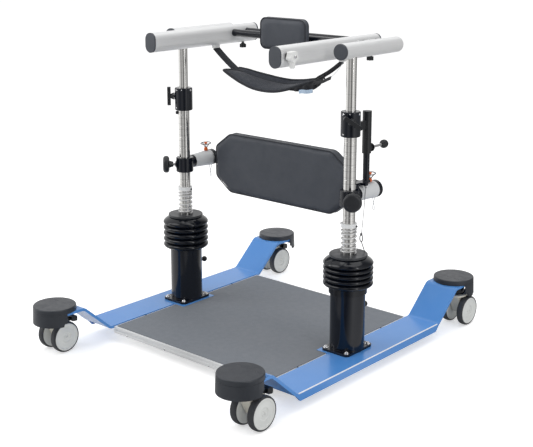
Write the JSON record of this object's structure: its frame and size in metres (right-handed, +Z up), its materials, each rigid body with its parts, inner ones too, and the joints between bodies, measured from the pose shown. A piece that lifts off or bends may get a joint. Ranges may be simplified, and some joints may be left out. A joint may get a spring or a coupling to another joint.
{
  "type": "standing frame",
  "caption": "wheeled standing frame: sprung columns in bellows carry a knee pad, handrails, a chest pad and a pelvic sling over a platform between bent side rails",
  "frame": {"origin": "on the floor, midway between the columns and between the front and rear casters", "axes": "+Z up, +Y the way the person in it faces, +X to that person's right"},
  "size_m": [0.97, 1.263, 1.0825],
  "materials": {
    "rail_blue": "satin powder coat",
    "tray_aluminium": "satin anodised",
    "mat_rubber": "matte ribbed",
    "cap_plastic": "fine grain",
    "caster_metal": "die cast satin",
    "wheel": "grey tyre on a pale hub",
    "pedal_plastic": "matte",
    "gloss_black": "gloss lacquer",
    "bellows_rubber": "semi-gloss",
    "steel": "polished tube",
    "plate_plastic": "matte",
    "handrail_aluminium": "satin anodised",
    "end_cap_plastic": "matte",
    "knob_plastic": "satin",
    "white_plastic": "satin",
    "cone_plastic": "satin",
    "pin_orange": "satin",
    "pad_leather": "fine leatherette",
    "sling_fabric": "padded fabric"
  },
  "bodies": {
    "base": {"side_rails": "rail_blue", "platform_tray": "tray_aluminium", "platform_mat": "mat_rubber", "caster_caps": "cap_plastic", "caster_stems": "steel", "column_bases": "gloss_black", "bellows": "bellows_rubber"},
    "sway_gimbals": {"gimbals": "steel"},
    "bridge": {"swivel_ends": "handrail_aluminium", "pad_carrier": "gloss_black", "chest_pad": "pad_leather", "pelvic_sling": "sling_fabric", "left_handrail": "handrail_aluminium", "right_handrail": "handrail_aluminium", "end_caps": "end_cap_plastic"},
    "knee_support": {"knee_swivels": "cone_plastic", "knee_pad_bracket": "gloss_black", "knee_pad": "pad_leather"},
    "left_column": {"left_column_tube": "steel", "left_spring_plate": "plate_plastic", "left_spring": "steel", "left_spring_collar": "steel", "left_mast_clamp": "gloss_black"},
    "left_mast_body": {"left_mast": "steel", "left_swivel_sleeve": "handrail_aluminium"},
    "left_knee_carrier": {"left_knee_clamp": "gloss_black"},
    "left_mast_handle_body": {"left_mast_handle": "gloss_black"},
    "left_thumb_screw_body": {"left_thumb_screw": "knob_plastic"},
    "left_knee_knob_body": {"left_knee_knob": "knob_plastic"},
    "left_lock_pin_body": {"left_lock_pin": "pin_orange"},
    "left_lock_plunger_body": {"left_lock_plunger": "knob_plastic"},
    "right_column": {"right_column_tube": "steel", "right_spring_plate": "plate_plastic", "right_spring": "steel", "right_spring_collar": "steel", "right_mast_clamp": "gloss_black", "guide_sleeve": "gloss_black"},
    "right_mast_body": {"right_mast": "steel", "right_swivel_sleeve": "handrail_aluminium"},
    "right_knee_carrier": {"right_knee_clamp": "gloss_black", "tether": "steel"},
    "right_mast_handle_body": {"right_mast_handle": "gloss_black"},
    "right_thumb_screw_body": {"right_thumb_screw": "knob_plastic"},
    "right_knee_knob_body": {"right_knee_knob": "knob_plastic"},
    "right_lock_pin_body": {"right_lock_pin": "pin_orange"},
    "right_lock_plunger_body": {"right_lock_plunger": "knob_plastic"},
    "guide_knob_body": {"guide_knob": "knob_plastic"},
    "cam_lever_body": {"cam_lever": "white_plastic"},
    "front_left_fork": {"fork_front_left": "caster_metal"},
    "front_left_pedal": {"pedal_front_left": "pedal_plastic"},
    "front_left_wheels": {"wheels_front_left": "wheel"},
    "front_right_fork": {"fork_front_right": "caster_metal"},
    "front_right_pedal": {"pedal_front_right": "pedal_plastic"},
    "front_right_wheels": {"wheels_front_right": "wheel"},
    "rear_left_fork": {"fork_rear_left": "caster_metal"},
    "rear_left_pedal": {"pedal_rear_left": "pedal_plastic"},
    "rear_left_wheels": {"wheels_rear_left": "wheel"},
    "rear_right_fork": {"fork_rear_right": "caster_metal"},
    "rear_right_pedal": {"pedal_rear_right": "pedal_plastic"},
    "rear_right_wheels": {"wheels_rear_right": "wheel"}
  },
  "joints": [
    {"name": "sway_fore_aft", "type": "hinge", "parent": "base", "child": "sway_gimbals", "pos_m": [0, 0, 0.315], "axis": [1, 0, 0], "range_deg": [-7, 7], "stiffness_Nm_per_rad": 900, "deforming": ["bellows"]},
    {"name": "left_sway_side", "type": "hinge", "parent": "sway_gimbals", "child": "left_column", "pos_m": [-0.364, 0, 0.315], "axis": [0, 1, 0], "range_deg": [-7, 7], "stiffness_Nm_per_rad": 450, "deforming": ["bellows"]},
    {"name": "left_mast_height", "type": "slide", "parent": "left_column", "child": "left_mast_body", "axis": [0, 0, 1], "range_m": [-0.1, 0.2]},
    {"name": "left_knee_height", "type": "slide", "parent": "left_column", "child": "left_knee_carrier", "axis": [0, 0, 1], "range_m": [-0.05, 0.05]},
    {"name": "left_mast_handle_turn", "type": "hinge", "parent": "left_column", "child": "left_mast_handle_body", "pos_m": [-0.364, 0, 0.797], "axis": [-0.7071, -0.7071, 0], "continuous": true},
    {"name": "left_knee_knob_turn", "type": "hinge", "parent": "left_knee_carrier", "child": "left_knee_knob_body", "pos_m": [-0.364, 0, 0.553], "axis": [-0.7071, -0.7071, 0], "continuous": true},
    {"name": "left_thumb_screw_turn", "type": "hinge", "parent": "bridge", "child": "left_thumb_screw_body", "pos_m": [-0.278, 0.214, 0.965], "axis": [0, 0, 1], "continuous": true},
    {"name": "left_lock_pin_pull", "type": "slide", "parent": "knee_support", "child": "left_lock_pin_body", "axis": [0, 0, 1], "range_m": [0, 0.012]},
    {"name": "left_lock_plunger_pull", "type": "slide", "parent": "base", "child": "left_lock_plunger_body", "axis": [0, 1, 0], "range_m": [0, 0.01], "stiffness_N_per_m": 400},
    {"name": "right_sway_side", "type": "hinge", "parent": "sway_gimbals", "child": "right_column", "pos_m": [0.364, 0, 0.315], "axis": [0, 1, 0], "range_deg": [-7, 7], "stiffness_Nm_per_rad": 450, "deforming": ["bellows"]},
    {"name": "right_mast_height", "type": "slide", "parent": "right_column", "child": "right_mast_body", "axis": [0, 0, 1], "range_m": [-0.1, 0.2]},
    {"name": "right_knee_height", "type": "slide", "parent": "right_column", "child": "right_knee_carrier", "axis": [0, 0, 1], "range_m": [-0.05, 0.05], "deforming": ["tether"]},
    {"name": "right_mast_handle_turn", "type": "hinge", "parent": "right_column", "child": "right_mast_handle_body", "pos_m": [0.364, 0, 0.797], "axis": [0.7071, -0.7071, 0], "continuous": true},
    {"name": "right_knee_knob_turn", "type": "hinge", "parent": "right_knee_carrier", "child": "right_knee_knob_body", "pos_m": [0.364, 0, 0.553], "axis": [0.7071, -0.7071, 0], "continuous": true},
    {"name": "right_thumb_screw_turn", "type": "hinge", "parent": "bridge", "child": "right_thumb_screw_body", "pos_m": [0.278, 0.214, 0.965], "axis": [0, 0, 1], "continuous": true},
    {"name": "right_lock_pin_pull", "type": "slide", "parent": "knee_support", "child": "right_lock_pin_body", "axis": [0, 0, 1], "range_m": [0, 0.012]},
    {"name": "right_lock_plunger_pull", "type": "slide", "parent": "base", "child": "right_lock_plunger_body", "axis": [0, 1, 0], "range_m": [0, 0.01], "stiffness_N_per_m": 400},
    {"name": "bridge_level", "type": "hinge", "parent": "left_mast_body", "child": "bridge", "pos_m": [-0.364, 0, 1.012], "axis": [0, 1, 0], "range_deg": [-7, 7]},
    {"name": "knee_level", "type": "hinge", "parent": "left_knee_carrier", "child": "knee_support", "pos_m": [-0.364, 0, 0.558], "axis": [0, 1, 0], "range_deg": [-7, 7]},
    {"name": "guide_knob_turn", "type": "hinge", "parent": "right_column", "child": "guide_knob_body", "pos_m": [0.364, 0.15, 0.697], "axis": [0, 1, 0], "continuous": true},
    {"name": "cam_lever_turn", "type": "hinge", "parent": "bridge", "child": "cam_lever_body", "pos_m": [0.3, -0.226, 1.011], "axis": [1, 0, 0], "range_deg": [-90, 0]},
    {"name": "front_left_swivel", "type": "hinge", "parent": "base", "child": "front_left_fork", "pos_m": [-0.435, -0.547, 0.11], "axis": [0, 0, 1], "continuous": true},
    {"name": "front_left_roll", "type": "hinge", "parent": "front_left_fork", "child": "front_left_wheels", "pos_m": [-0.435, -0.53, 0.052], "axis": [1, 0, 0], "continuous": true},
    {"name": "front_left_brake", "type": "hinge", "parent": "front_left_fork", "child": "front_left_pedal", "pos_m": [-0.435, -0.509, 0.0915], "axis": [1, 0, 0], "range_deg": [-14, 0], "stiffness_Nm_per_rad": 4},
    {"name": "front_right_swivel", "type": "hinge", "parent": "base", "child": "front_right_fork", "pos_m": [0.435, -0.547, 0.11], "axis": [0, 0, 1], "continuous": true},
    {"name": "front_right_roll", "type": "hinge", "parent": "front_right_fork", "child": "front_right_wheels", "pos_m": [0.435, -0.53, 0.052], "axis": [1, 0, 0], "continuous": true},
    {"name": "front_right_brake", "type": "hinge", "parent": "front_right_fork", "child": "front_right_pedal", "pos_m": [0.435, -0.509, 0.0915], "axis": [1, 0, 0], "range_deg": [-14, 0], "stiffness_Nm_per_rad": 4},
    {"name": "rear_left_swivel", "type": "hinge", "parent": "base", "child": "rear_left_fork", "pos_m": [-0.435, 0.547, 0.11], "axis": [0, 0, 1], "continuous": true},
    {"name": "rear_left_roll", "type": "hinge", "parent": "rear_left_fork", "child": "rear_left_wheels", "pos_m": [-0.435, 0.564, 0.052], "axis": [1, 0, 0], "continuous": true},
    {"name": "rear_left_brake", "type": "hinge", "parent": "rear_left_fork", "child": "rear_left_pedal", "pos_m": [-0.435, 0.585, 0.0915], "axis": [1, 0, 0], "range_deg": [-14, 0], "stiffness_Nm_per_rad": 4},
    {"name": "rear_right_swivel", "type": "hinge", "parent": "base", "child": "rear_right_fork", "pos_m": [0.435, 0.547, 0.11], "axis": [0, 0, 1], "continuous": true},
    {"name": "rear_right_roll", "type": "hinge", "parent": "rear_right_fork", "child": "rear_right_wheels", "pos_m": [0.435, 0.564, 0.052], "axis": [1, 0, 0], "continuous": true},
    {"name": "rear_right_brake", "type": "hinge", "parent": "rear_right_fork", "child": "rear_right_pedal", "pos_m": [0.435, 0.585, 0.0915], "axis": [1, 0, 0], "range_deg": [-14, 0], "stiffness_Nm_per_rad": 4}
  ],
  "couplings": [
    {"joint": "right_sway_side", "follows": "left_sway_side", "ratio": 1},
    {"joint": "bridge_level", "follows": "left_sway_side", "ratio": -1},
    {"joint": "knee_level", "follows": "left_sway_side", "ratio": -1},
    {"joint": "right_mast_height", "follows": "left_mast_height", "ratio": 1},
    {"joint": "right_knee_height", "follows": "left_knee_height", "ratio": 1}
  ]
}
